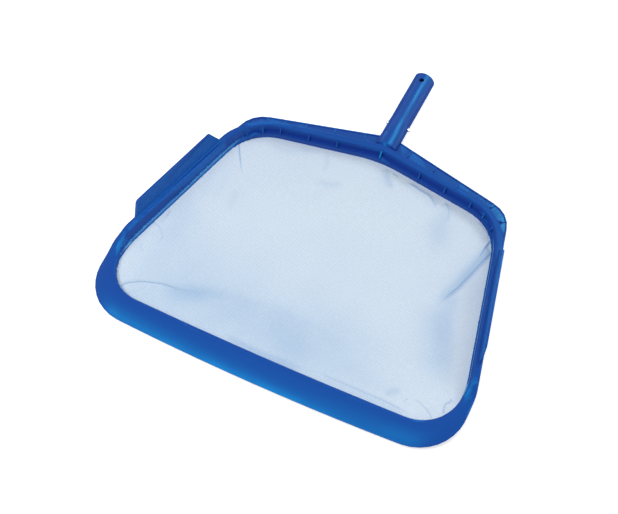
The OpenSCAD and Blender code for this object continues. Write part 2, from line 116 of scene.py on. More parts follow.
def slice_shape(shape: Shape, spot: object, normal: object, **options: object) -> None:
    """Cuts a shape along the plane through a spot, with any further options of the cut."""
    everything = shape.verts[:] + shape.edges[:] + shape.faces[:]
    bmesh.ops.bisect_plane(shape, geom=everything, plane_co=spot, plane_no=normal, **options)


def new_piece(name: str, shape: Shape, material: Material) -> Piece:
    """Makes an object from a shape and puts it in the scene.

    Args:
        name: The object's name.
        shape: Its shape, which is freed.
        material: Its material.

    Returns:
        The new object.
    """
    mesh = bpy.data.meshes.new(name)
    shape.to_mesh(mesh)
    shape.free()
    mesh.materials.append(material)
    piece = bpy.data.objects.new(name, mesh)
    bpy.context.scene.collection.objects.link(piece)
    return piece


def mark_points(mesh: bpy.types.Mesh, name: str, values: object) -> None:
    """Stores an attribute with one value for each point of a mesh, in order."""
    mesh.attributes.new(name, "FLOAT", "POINT").data.foreach_set("value", values)


class NodeBuilder:
    """Adds nodes to a tree and links them by socket name."""

    def __init__(self, tree: NodeTree) -> None:
        """Keeps the tree to build in."""
        self.tree = tree

    def add(self, kind: str, **settings: object) -> Node:
        """Adds a node.

        Args:
            kind: The node's type name, without the word ShaderNode.
            **settings: Attributes to set on the node.

        Returns:
            The new node.
        """
        node = self.tree.nodes.new("ShaderNode" + kind)
        for name, value in settings.items():
            setattr(node, name, value)
        return node

    def link(self, source: Socket, target: Socket) -> None:
        """Links two sockets."""
        self.tree.links.new(source, target)

    def feed(self, target: Socket, value: object) -> None:
        """Links a socket to the target, or sets the target's own value.

        Args:
            target: The input socket.
            value: A socket, a number or a colour.
        """
        if isinstance(value, Socket):
            self.link(value, target)
        elif isinstance(value, tuple) and target.type == "RGBA":
            target.default_value = (*value, 1.0)
        else:
            target.default_value = value

    def fill(self, node: Node, values: dict[str, object]) -> None:
        """Feeds several inputs of a node, each with a socket, a number or a colour."""
        for name, value in values.items():
            self.feed(node.inputs[name], value)

    def place(self) -> Socket:
        """The place on the piece."""
        return self.add("TexCoord").outputs["Object"]

    def attribute(self, name: str) -> Socket:
        """The value of an attribute of the mesh."""
        return self.add("Attribute", attribute_name=name).outputs["Fac"]

    def math(self, operation: str, *values: object, clamp: bool = False) -> Socket:
        """Adds a Math node.

        Args:
            operation: The operation's name.
            *values: Sockets or numbers for its inputs, in order.
            clamp: Whether the result is held between 0 and 1.

        Returns:
            The result.
        """
        node = self.add("Math", operation=operation, use_clamp=clamp)
        for socket, value in zip(node.inputs, values):
            self.feed(socket, value)
        return node.outputs[0]

    def ramp(self, value: Socket, low: object, high: object, out: Point2 = (0.0, 1.0)) -> Socket:
        """Maps a value smoothly from one range to another.

        Args:
            value: The socket to map.
            low: Value at which the result is at its first limit.
            high: Value at which the result is at its last limit.
            out: The two limits of the result.

        Returns:
            The mapped value.
        """
        node = self.add("MapRange", interpolation_type="SMOOTHSTEP")
        self.fill(node, {"Value": value, "From Min": low, "From Max": high})
        self.fill(node, {"To Min": out[0], "To Max": out[1]})
        return node.outputs["Result"]

    def blend(self, share: object, first: object, second: object, mode: str = "MIX") -> Socket:
        """Mixes two colours.

        Args:
            share: Share of the second colour.
            first: The first colour.
            second: The second colour.
            mode: The blend type.

        Returns:
            The mixed colour.
        """
        node = self.add("Mix", data_type="RGBA", blend_type=mode)
        self.fill(node, {"Factor": share, "A": first, "B": second})
        return node.outputs["Result"]

    def noise(self, place: Socket, scale: object, detail: float = 2.0) -> Socket:
        """Adds a noise.

        Args:
            place: Where the noise is read.
            scale: Its scale, per metre.
            detail: Its octaves.

        Returns:
            Its value, from 0 to 1.
        """
        node = self.add("TexNoise")
        self.fill(node, {"Vector": place, "Scale": scale, "Detail": detail})
        return node.outputs["Fac"]

    def bump(self, height: Socket, depth: float, strength: object) -> Socket:
        """Turns a height into a normal.

        Args:
            height: The height, from 0 to 1.
            depth: What a height of 1 stands for, in metres.
            strength: How much of it shows.

        Returns:
            The normal.
        """
        node = self.add("Bump")
        self.fill(node, {"Height": height, "Distance": depth, "Strength": strength})
        return node.outputs["Normal"]

    def background_seen(self) -> Socket:
        """Whether the background is seen, by the camera or in metal or glass.

        Returns:
            1 where it is, and 0 on other rays.
        """
        rays = self.add("LightPath").outputs
        straight = self.math("MAXIMUM", rays["Is Camera Ray"], rays["Is Transmission Ray"])
        return self.math("MAXIMUM", straight, rays["Is Glossy Ray"])


def new_material(name: str) -> tuple[Material, NodeBuilder, Node]:
    """Makes a material.

    Args:
        name: The material's name.

    Returns:
        The material, its node builder and its shader.
    """
    material = bpy.data.materials.new(name)
    material.use_nodes = True
    tree = material.node_tree
    return material, NodeBuilder(tree), tree.nodes["Principled BSDF"]


class SharedEffect:
    """An effect that several materials use, as a node group that is built once."""

    name: str
    inputs: dict[str, float]
    outputs: dict[str, str]

    @classmethod
    def build(cls, nodes: NodeBuilder, given: object) -> dict[str, Socket]:
        """Builds the nodes inside the group and says what each output puts out."""
        raise NotImplementedError

    @classmethod
    def tree(cls) -> NodeTree:
        """The group's tree, built when it is first wanted.

        Returns:
            The node tree.
        """
        found = bpy.data.node_groups.get(cls.name)
        if found:
            return found
        tree = bpy.data.node_groups.new(cls.name, "ShaderNodeTree")
        sockets = tree.interface
        for label, value in cls.inputs.items():
            socket = sockets.new_socket(label, in_out="INPUT", socket_type="NodeSocketFloat")
            socket.default_value = value
        for label, kind in cls.outputs.items():
            sockets.new_socket(label, in_out="OUTPUT", socket_type="NodeSocket" + kind)
        nodes = NodeBuilder(tree)
        given = tree.nodes.new("NodeGroupInput").outputs
        results = tree.nodes.new("NodeGroupOutput").inputs
        for label, result in cls.build(nodes, given).items():
            nodes.link(result, results[label])
        return tree

    @classmethod
    def placed(cls, nodes: NodeBuilder, **values: float) -> object:
        """Places the group in a material.

        Args:
            nodes: The material's node builder.
            **values: Values for its inputs, with underscores for spaces.

        Returns:
            The group's outputs, by name.
        """
        node = nodes.add("Group", node_tree=cls.tree())
        for name, value in values.items():
            node.inputs[name.replace("_", " ")].default_value = value
        return node.outputs


class MouldedSkin(SharedEffect):
    """The skin of a moulded or drawn piece: cloudy gloss and a fine orange peel."""

    name = "moulded_skin"
    inputs = {"Gloss": 0.35, "Gloss Spread": 0.06, "Peel Scale": 900.0, "Peel": 0.05}
    outputs = {"Clouds": "Float", "Roughness": "Float", "Normal": "Vector"}
    cloud_scale = 26.0
    streak_scale = 140.0
    streak_share = 0.6
    middle = 0.8
    peel_depth = 0.06 * MM

    @classmethod
    def build(cls, nodes: NodeBuilder, given: object) -> dict[str, Socket]:
        """Builds the nodes inside the group.

        Args:
            nodes: The group's node builder.
            given: The group's inputs, by name.

        Returns:
            The clouds, the roughness and the normal.
        """
        place = nodes.place()
        clouds = nodes.ramp(nodes.noise(place, cls.cloud_scale, 3.0), 0.3, 0.7)
        streaks = nodes.noise(place, cls.streak_scale, 4.0)
        uneven = nodes.math("MULTIPLY_ADD", streaks, cls.streak_share, clouds)
        centred = nodes.math("SUBTRACT", uneven, cls.middle)
        rough = nodes.math("MULTIPLY_ADD", centred, given["Gloss Spread"], given["Gloss"])
        peel = nodes.noise(place, given["Peel Scale"])
        normal = nodes.bump(peel, cls.peel_depth, given["Peel"])
        return {"Clouds": clouds, "Roughness": rough, "Normal": normal}


class WornAndLitEdges(SharedEffect):
    """Worn and lit edges: a mask that is high where a surface turns sharply outwards, which
    lightens the colour there as a painted edge highlight as well as wear.
    """

    name = "worn_and_lit_edges"
    inputs = {"Start": 0.52, "Full": 0.6, "Break Up": 0.5}
    outputs = {"Mask": "Float"}
    patch_scale = 320.0

    @classmethod
    def build(cls, nodes: NodeBuilder, given: object) -> dict[str, Socket]:
        """Builds the nodes inside the group.

        Args:
            nodes: The group's node builder.
            given: The group's inputs, by name.

        Returns:
            The mask.
        """
        sharpness = nodes.add("NewGeometry").outputs["Pointiness"]
        edge = nodes.ramp(sharpness, given["Start"], given["Full"])
        patches = nodes.ramp(nodes.noise(nodes.place(), cls.patch_scale, 3.0), 0.35, 0.65)
        kept = nodes.math("SUBTRACT", 1.0, nodes.math("MULTIPLY", patches, given["Break Up"]))
        return {"Mask": nodes.math("MULTIPLY", edge, kept, clamp=True)}


BLUE_SHEEN: Colour = (0.0, 0.6, 1.0)


@dataclass(frozen=True)
class PlasticFinish:
    """Coloured moulded plastic with a soft sheen, duller at a glancing angle, and lighter along its
    edges as painted highlight and wear.
    """

    name: str
    colour: Colour
    shade: Colour
    edge: Colour
    edge_share: float = 0.75
    edge_start: float = 0.53
    edge_full: float = 0.62
    edge_gaps: float = 0.45
    gloss: float = 0.34
    gloss_spread: float = 0.07
    peel: float = 0.1
    glancing: Point2 = (0.3, 0.62)
    glancing_gloss: float = 0.55
    ior: float = 1.49
    specular: float = 0.8

    def material(self) -> Material:
        """Builds the material.

        Returns:
            A new material.
        """
        material, nodes, shader = new_material(self.name)
        skin = MouldedSkin.placed(
            nodes, Gloss=self.gloss, Gloss_Spread=self.gloss_spread, Peel=self.peel
        )
        # The worn and lit edges blend the colour towards the lighter edge colour: a painted edge
        # highlight as well as wear.
        worn_and_lit = WornAndLitEdges.placed(
            nodes, Start=self.edge_start, Full=self.edge_full, Break_Up=self.edge_gaps
        )
        base = nodes.blend(skin["Clouds"], self.colour, self.shade)
        share = nodes.math("MULTIPLY", worn_and_lit["Mask"], self.edge_share)
        facing = nodes.add("LayerWeight").outputs["Facing"]
        duller = nodes.ramp(facing, *self.glancing, (0.0, self.glancing_gloss))
        nodes.fill(shader, {
            "Base Color": nodes.blend(share, base, self.edge),
            "Roughness": nodes.math("ADD", skin["Roughness"], duller),
            "Normal": skin["Normal"],
            "IOR": self.ior,
            "Specular IOR Level": self.specular,
            "Specular Tint": BLUE_SHEEN,
        })
        return material


@dataclass(frozen=True)
class NetFinish:
    """Woven net of fine threads, open between them, with painted shade: bluer along its creases,
    where threads also gather, and over the hollows of its folds.
    """

    name: str
    thread: Colour
    crease: Colour
    plastic: Colour
    pitch: float = 2.6 * MM
    thread_edge: Point2 = (0.55, 0.85)
    cover: float = 0.8
    # Share of the colour left where a thread passes under another: a painted shade.
    under: float = 0.8
    uneven: float = 0.94
    uneven_scale: float = 400.0
    cloud_tint: float = 0.05
    cloud_scale: float = 9.0
    slack_range: Point2 = (0.85, 1.12)
    slack_scale: float = 20.0
    drown_break: float = 0.9
    drown_scale: float = 620.0
    drown_edge: float = 0.2
    thread_gloss: Point2 = (0.75, 0.55)
    thread_depth: float = 0.12 * MM
    thread_bump: float = 0.35
    specular: float = 0.25

    def material(self) -> Material:
        """Builds the material.

        Returns:
            A new material.
        """
        material, nodes, shader = new_material(self.name)
        place = nodes.place()
        spot = nodes.add("SeparateXYZ")
        nodes.link(nodes.add("UVMap", uv_map="cut").outputs["UV"], spot.inputs[0])
        turns = [
            nodes.math("MULTIPLY", spot.outputs[axis], 2 * math.pi / self.pitch)
            for axis in ("X", "Y")
        ]
        waves = [nodes.math("SINE", turn) for turn in turns]
        weave = nodes.math("MAXIMUM", *(nodes.math("ABSOLUTE", wave) for wave in waves))
        crossing = nodes.math("MULTIPLY", *waves)
        threads = nodes.ramp(weave, *self.thread_edge)

        # Painted shade along the pleats, partly the gathered threads, and over the folds' hollows:
        # both blend the threads towards the crease colour.
        crease_shade = nodes.attribute("crease")
        # The fold shade is painted shade, broken up by a noise.
        patches = nodes.noise(place, self.slack_scale, 3.0)
        broken = nodes.ramp(patches, 0.25, 0.75, self.slack_range)
        slack = nodes.math("MULTIPLY", nodes.attribute("slack"), broken)
        clouds = nodes.ramp(nodes.noise(place, self.cloud_scale), 0.3, 0.7)
        tone = nodes.math("MULTIPLY_ADD", clouds, self.cloud_tint, slack)
        woven = nodes.blend(nodes.math("MAXIMUM", tone, crease_shade), self.thread, self.crease)

        gaps = nodes.math("MULTIPLY", nodes.noise(place, self.drown_scale), self.drown_break)
        flow = nodes.math("SUBTRACT", nodes.attribute("rim"), gaps)
        base = nodes.blend(nodes.ramp(flow, 0.0, self.drown_edge), woven, self.plastic)
        # Painted shade where a thread passes under another; light also takes the threads' random
        # grain.
        crossing_shade = nodes.ramp(crossing, -0.5, 0.5, (self.under, 1.0))
        grain = nodes.noise(place, self.uneven_scale)
        uneven = nodes.ramp(grain, 0.3, 0.7, (self.uneven, 1.0))
        light = nodes.math("MULTIPLY", crossing_shade, uneven)
        closed = nodes.math("MULTIPLY_ADD", threads, 1 - self.cover, self.cover)
        height = nodes.math("MULTIPLY_ADD", crossing, 0.3, weave)
        nodes.fill(shader, {
            "Base Color": nodes.blend(1.0, base, light, "MULTIPLY"),
            "Alpha": nodes.math("MAXIMUM", closed, crease_shade),
            "Normal": nodes.bump(height, self.thread_depth, self.thread_bump),
            "Roughness": nodes.ramp(threads, 0.0, 1.0, self.thread_gloss),
            "Specular IOR Level": self.specular,
        })
        return material


@dataclass(frozen=True)
class BondedFinish:
    """Plastic that has flowed through the edge of the net, with threads showing in it."""

    name: str
    colour: Colour
    thread: Colour
    patch_scale: float = 70.0
    patch_share: float = 0.2
    level_share: float = 0.6
    thread_scale: float = 640.0
    thread_edge: Point2 = (-0.02, 0.12)
    thread_depth: float = 0.2 * MM
    thread_bump: float = 0.5
    gloss: float = 0.8

    def material(self) -> Material:
        """Builds the material.

        Returns:
            A new material.
        """
        material, nodes, shader = new_material(self.name)
        place = nodes.place()
        height = nodes.math("MULTIPLY", nodes.attribute("level"), self.level_share)
        patches = nodes.noise(place, self.patch_scale, 1.0)
        wanted = nodes.math("MULTIPLY_ADD", patches, self.patch_share, height)
        left = nodes.math("SUBTRACT", nodes.noise(place, self.thread_scale, 3.0), wanted)
        shown = nodes.ramp(left, *self.thread_edge)
        nodes.fill(shader, {
            "Base Color": nodes.blend(shown, self.colour, self.thread),
            "Normal": nodes.bump(shown, self.thread_depth, self.thread_bump),
            "Roughness": self.gloss,
            "Specular Tint": BLUE_SHEEN,
        })
        return material


@dataclass(frozen=True)
class SteelFinish:
    """Bright steel with fine drawn lines."""

    name: str
    colour: Colour
    shade: float = 0.82
    gloss: float = 0.3
    gloss_spread: float = 0.1
    peel: float = 0.08

    def material(self) -> Material:
        """Builds the material.

        Returns:
            A new material.
        """
        material, nodes, shader = new_material(self.name)
        skin = MouldedSkin.placed(
            nodes, Gloss=self.gloss, Gloss_Spread=self.gloss_spread, Peel=self.peel
        )
        grey = tuple(self.shade * channel for channel in self.colour)
        nodes.fill(shader, {
            "Base Color": nodes.blend(skin["Clouds"], self.colour, grey),
            "Roughness": skin["Roughness"],
            "Normal": skin["Normal"],
            "Metallic": 1.0,
        })
        return material


# The third colour of each plastic is its lighter edge colour, a painted edge highlight and wear.
FRAME_PLASTIC = PlasticFinish(
    "frame_plastic", srgb(28, 57, 145), srgb(27, 54, 141), srgb(34, 96, 179)
)
HANDLE_PLASTIC = PlasticFinish(
    "handle_plastic", srgb(28, 58, 146), srgb(27, 55, 142), srgb(34, 96, 179)
)
# The crease colour is the painted shade of the creases and folds.
NET_THREADS = NetFinish("net_threads", srgb(218, 233, 247), srgb(116, 168, 218), srgb(52, 116, 184))
BONDED_WEAVE = BondedFinish("bonded_weave", srgb(29, 68, 150), srgb(92, 156, 212))
SPRING_STEEL = SteelFinish("spring_steel", srgb(206, 208, 210))
BUTTON_STEEL = SteelFinish("button_steel", srgb(238, 239, 241))


@dataclass(frozen=True)
class MouldedPiece:
    """A smooth copy of a moulded solid, with its sharp edges rounded."""

    node: str
    name: str
    slot: Slot
    finish: PlasticFinish
    flat_angle: float = math.radians(0.4)
    edge_angle: float = math.radians(32.0)
    edge_radius: float = 0.45 * MM
    edge_segments: int = 2

    def smooth_shape(self) -> Shape:
        """Copies the solid, joins what is flat and keeps its edges sharp.

        Returns:
            The copy.
        """
        shape = solid_shape(self.node)
        bmesh.ops.dissolve_limit(
            shape, angle_limit=self.flat_angle, verts=shape.verts, edges=shape.edges
        )
        for face in shape.faces:
            face.smooth = True
        for edge in shape.edges:
            edge.smooth = edge.calc_face_angle(0.0) < self.edge_angle
        return shape

    def build(self) -> Piece:
        """Builds the piece, which rides on the skimmer and replaces its solid.

        Returns:
            The new object.
        """
        piece = new_piece(self.name, self.smooth_shape(), self.finish.material())
        stored = piece.data.attributes.get("custom_normal")
        if stored:
            piece.data.attributes.remove(stored)
        rounding = piece.modifiers.new("rounding", "BEVEL")
        rounding.width = self.edge_radius
        rounding.segments = self.edge_segments
        rounding.limit_method = "ANGLE"
        rounding.angle_limit = self.edge_angle
        rounding.harden_normals = True
        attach(piece, Body.SKIMMER.value)
        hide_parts(self.node)
        return piece


@dataclass(frozen=True)
class Fold:
    """A fold of the net along a line, steep on its left and gentle on its right.

    The points are on the net, from one end of the fold to the other, and the ends are the
    shares of its length over which it fades. The line is how strongly the painted shade of a pleat
    of the given width shows on it, and the shading how much painted shade makes the net bluer on
    both sides. All lengths are in millimetres.
    """

    points: tuple[Point2, ...]
    height: float
    steep: float
    gentle: float
    ends: Point2
    line: float = 0.0
    pleat: float = 0.0
    tint: float = 0.0
    broad: float = 5.0

    @property
    def fine(self) -> bool:
        """Whether the fold is too narrow for the cells that settle as cloth."""
        return self.line > 0 or self.steep < self.broad

    def curve(self) -> tuple[Point2, ...]:
        """The line drawn as a smooth curve through its points.

        Returns:
            The curve's points.
        """
        spots = [Vector(spot) for spot in self.points]
        spots = [2 * spots[0] - spots[1], *spots, 2 * spots[-1] - spots[-2]]
        drawn = []
        for before, start, end, after in zip(spots, spots[1:], spots[2:], spots[3:]):
            for t in (0.0, 0.25, 0.5, 0.75):
                bend = (2 * before - 5 * start + 4 * end - after) * t * t
                twist = (3 * start - before - 3 * end + after) * t * t * t
                drawn.append((start + ((end - before) * t + bend + twist) / 2)[:])
        return (*drawn, spots[-2][:])

    def width(self, signed: Array) -> Array:
        """Width of the flank at distances that are signed to the left of the line."""
        return np.where(signed > 0, self.steep, self.gentle)

    def left(self, share: Array) -> Array:
        """How much of the fold is left towards its ends.

        Args:
            share: Share of its length at each spot.

        Returns:
            The remaining part, from 0 to 1.
        """
        rise = np.clip(share / self.ends[0], 0, 1)
        fall = np.clip((1 - share) / self.ends[1], 0, 1)
        return rise * rise * (3 - 2 * rise) * fall * fall * (3 - 2 * fall)


NET_CLOTH = {
    "vertex_group_mass": "held",
    "quality": 6,
    "mass": 0.02,
    "tension_stiffness": 40.0,
    "compression_stiffness": 20.0,
    "shear_stiffness": 10.0,
    "bending_stiffness": 0.15,
    "tension_damping": 10.0,
    "compression_damping": 10.0,
    "air_damping": 2.0,
}


@dataclass
class Net:
    """The slack net: a cut sheet of cloth, folded, then relaxed under its own weight.

    All lengths are in millimetres. The outline is worked out when the net is built.
    """

    folds: tuple[Fold, ...]
    name: str = "net"
    node: str = "mesh_panel"
    cell: float = 3.4
    fine_cells: float = 1.3
    fine_reaches: Point2 = (5.0, 3.0)
    least_cell: float = 0.35
    thickness: float = 0.35
    grip: float = 2.0
    held_beside: float = 0.6
    sag: float = 2.6
    sag_reach: float = 150.0
    fold_rise: float = 6.0
    pleat_height: float = 0.4
    frames: int = 14
    weight: float = 0.35
    shading_taper: Point2 = (0.45, 0.65)
    drowned: float = 0.7
    drowned_width: float = 1.2
    drowned_middle: float = -105.0
    drowned_half: float = 195.0
    drowned_fade: float = 40.0
    drowned_side: float = 130.0
    drowned_rise: float = 30.0
    outline: tuple[Point2, ...] = ()

    def rim(self) -> list[Vector]:
        """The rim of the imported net, in order.

        Returns:
            Its points at the height of the rim.
        """
        shape = solid_shape(self.node)
        under = [face for face in shape.faces if face.normal.z < 0.2]
        bmesh.ops.delete(shape, geom=under, context="FACES")
        place = next(edge for edge in shape.edges if edge.is_boundary).verts[0]
        points, seen = [], set()
        while place and place not in seen:
            seen.add(place)
            points.append(place.co.copy())
            following = [e.other_vert(place) for e in place.link_edges if e.is_boundary]
            place = next((vert for vert in following if vert not in seen), None)
        shape.free()
        return points

    def cut_sheet(self, rim: list[Vector]) -> Shape:
        """Cuts the flat sheet into cells, and keeps each corner's place on the cut.

        Args:
            rim: The outline, in order.

        Returns:
            The flat sheet.
        """
        height = sum(point.z for point in rim) / len(rim) - self.thickness * MM / 2
        shape = bmesh.new()
        shape.faces.new([shape.verts.new((point.x, point.y, height)) for point in rim])
        for axis, normal in enumerate((Vector((1, 0, 0)), Vector((0, 1, 0)))):
            values = [point[axis] for point in rim]
            low, high = min(values), max(values)
            count = round((high - low) / (self.cell * MM))
            for step in range(1, count):
                spot = normal * (low + (high - low) * step / count)
                slice_shape(shape, spot, normal, dist=1e-7)
        bmesh.ops.remove_doubles(shape, verts=shape.verts, dist=self.least_cell * MM)
        bmesh.ops.recalc_face_normals(shape, faces=shape.faces)
        if sum(face.normal.z for face in shape.faces) < 0:
            bmesh.ops.reverse_faces(shape, faces=shape.faces)
        mapping = shape.loops.layers.uv.new("cut")
        for face in shape.faces:
            face.smooth = True
            for loop in face.loops:
                loop[mapping].uv = loop.vert.co.xy
        return shape

    @staticmethod
    def along(points: tuple[Point2, ...], spots: Array) -> tuple[Array, Array]:
        """Distance of spots from a line, signed to its left, and their share of its length.

        Args:
            points: The line's points.
            spots: Spots, one a row.

        Returns:
            The signed distances and the shares.
        """
        line = np.array(points, float)
        lengths = np.linalg.norm(np.diff(line, axis=0), axis=1)
        total, run = lengths.sum(), 0.0
        best = np.full(len(spots), np.inf)
        signed, share = np.zeros(len(spots)), np.zeros(len(spots))
        for start, end, length in zip(line[:-1], line[1:], lengths):
            way = (end - start) / length
            offset = spots - start
            reach = np.clip(offset @ way, 0, length)
            distance = np.linalg.norm(offset - reach[:, None] * way, axis=1)
            nearer = distance < best
            side = np.sign(way[0] * offset[:, 1] - way[1] * offset[:, 0])
            best = np.where(nearer, distance, best)
            signed = np.where(nearer, distance * side, signed)
            share = np.where(nearer, (run + reach) / total, share)
            run += length
        return signed, share

    def relief(self, spots: Array, inset: Array, fine: bool) -> Array:
        """Height of the folds.

        Args:
            spots: Spots on the net, in millimetres, one a row.
            inset: Distance of each from the rim, in millimetres.
            fine: Whether the fine folds are wanted, or the broad ones.

        Returns:
            The heights, in millimetres.
        """
        height = np.zeros(len(spots))
        for fold in self.folds:
            if fold.fine == fine:
                signed, share = self.along(fold.curve(), spots)
                flank = np.exp(-((np.abs(signed) / fold.width(signed)) ** 1.5))
                height += fold.height * fold.left(share) * flank
        return height * np.clip((inset - self.grip) / self.fold_rise, 0, 1)

    def marks(self, spots: Array, inset: Array) -> dict[str, Array]:
        """Where shade is painted along the creases and over the folds, and where plastic has
        drowned its rim.

        Args:
            spots: Spots on the net, in millimetres, one a row.
            inset: Distance of each from the rim, in millimetres.

        Returns:
            One mask each: the painted shade of the pleats, the painted shade of the folds, and the
                drowned rim.
        """
        crease, unshaded = np.zeros(len(spots)), np.ones(len(spots))
        least, grown = self.shading_taper
        for fold in self.folds:
            signed, share = self.along(fold.curve(), spots)
            left = fold.left(share)
            # The crease mask: painted shade along each pleat, where threads also gather.
            if fold.line > 0:
                pleat = np.exp(-((signed / fold.pleat) ** 2))
                crease = np.maximum(crease, fold.line * left * pleat)
            # The broad shading: painted shade on both sides of the fold.
            if fold.tint > 0:
                width = fold.width(signed) * (least + grown * left)
                unshaded *= 1 - fold.tint * left * np.exp(-((np.abs(signed) / width) ** 2))
        clear = inset - self.grip
        gap = self.drowned_half - np.abs(spots[:, 1] - self.drowned_middle)
        beside = np.clip(gap / self.drowned_fade, 0, 1)
        past = np.abs(spots[:, 0]) - self.drowned_side
        beside *= np.clip(past / self.drowned_rise, 0, 1)
        return {
            "crease": crease * np.clip(clear + 1, 0, 1),
            "slack": 1 - unshaded,
            "rim": beside * np.clip(self.drowned - clear / self.drowned_width, 0, 1),
        }

    def refine(self, mesh: bpy.types.Mesh) -> None:
        """Makes the cells smaller along the fine folds and beside the rim, and pleats them.

        Args:
            mesh: The settled sheet.
        """
        shape = bmesh.new()
        shape.from_mesh(mesh)
        for reach in self.fine_reaches:
            spots = self.cut_places(shape)
            near = self.gap_to_folds(spots) < reach
            near |= self.inset(spots) < self.grip + reach - self.held_beside
            edges = [e for e in shape.edges if near[e.verts[0].index] or near[e.verts[1].index]]
            edges = [edge for edge in edges if edge.calc_length() > self.fine_cells * MM]
            bmesh.ops.subdivide_edges(shape, edges=edges, cuts=1, use_grid_fill=True)
            shape.verts.index_update()
        spots = self.cut_places(shape)
        inset = self.inset(spots)
        marks = self.marks(spots, inset)
        rises = self.relief(spots, inset, True) + self.pleat_height * marks["crease"]
        for vert, rise in zip(shape.verts, rises):
            vert.co.z += rise * MM
        big = [face for face in shape.faces if len(face.verts) > 4]
        bmesh.ops.triangulate(shape, faces=big)
        for face in shape.faces:
            face.smooth = True
        shape.to_mesh(mesh)
        shape.free()
        for label, values in marks.items():
            mark_points(mesh, label, values.astype(np.float32))
        LOG.info("net: %d faces", len(mesh.polygons))

    def cut_places(self, shape: Shape) -> Array:
        """Where each point of the sheet was on the flat cut, in millimetres."""
        mapping = shape.loops.layers.uv["cut"]
        return np.array([vert.link_loops[0][mapping].uv[:] for vert in shape.verts]) / MM

    def inset(self, spots: Array) -> Array:
        """Distance of spots from the rim, in millimetres."""
        return np.abs(self.along(self.outline, spots)[0])

    def gap_to_folds(self, spots: Array) -> Array:
        """Distance of spots from the nearest fine fold, in millimetres."""
        fine = [fold for fold in self.folds if fold.fine]
        return np.min([np.abs(self.along(fold.curve(), spots)[0]) for fold in fine], axis=0)

    def relax(self, piece: Piece) -> None:
        """Lets the sheet settle as cloth, held at its rim, and keeps the result.

        Args:
            piece: The sheet, with the vertex group held.
        """
        cloth = piece.modifiers.new("settling", "CLOTH")
        for name, value in NET_CLOTH.items():
            setattr(cloth.settings, name, value)
        cloth.settings.effector_weights.gravity = self.weight
        cloth.collision_settings.use_collision = False
        cloth.point_cache.frame_start = 1
        cloth.point_cache.frame_end = self.frames
        scene = bpy.context.scene
        for step in range(1, self.frames + 1):
            scene.frame_set(step)
        graph = bpy.context.evaluated_depsgraph_get()
        settled = piece.evaluated_get(graph).to_mesh()
        spots = np.zeros(len(settled.vertices) * 3, np.float32)
        settled.vertices.foreach_get("co", spots)
        piece.evaluated_get(graph).to_mesh_clear()
        piece.modifiers.remove(cloth)
        scene.frame_set(1)
        piece.data.vertices.foreach_set("co", spots)
        piece.data.update()

    def build(self) -> Piece:
        """Builds the net, which rides on the skimmer and replaces its solid.

        Returns:
            The new object.
        """
        rim = self.rim()
        self.outline = tuple((point.x / MM, point.y / MM) for point in rim + rim[:1])
        shape = self.cut_sheet(rim)
        flat_area = sum(face.calc_area() for face in shape.faces)
        spots = np.array([vert.co.xy[:] for vert in shape.verts]) / MM
        inset = self.inset(spots)
        depth = np.clip((inset - self.grip) / self.sag_reach, 0, 1)
        drop = self.sag * (1 - (1 - depth) ** 2)
        for vert, rise in zip(shape.verts, (self.relief(spots, inset, False) - drop) * MM):
            vert.co.z += rise
        piece = new_piece(self.name, shape, NET_THREADS.material())
        held = np.flatnonzero(inset < self.grip + self.held_beside)
        piece.vertex_groups.new(name="held").add([int(i) for i in held], 1.0, "REPLACE")
        self.relax(piece)
        self.refine(piece.data)
        thick = piece.modifiers.new("thickness", "SOLIDIFY")
        thick.thickness = self.thickness * MM
        thick.offset = 1.0
        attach(piece, Body.SKIMMER.value)
        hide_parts(self.node)
        return piece
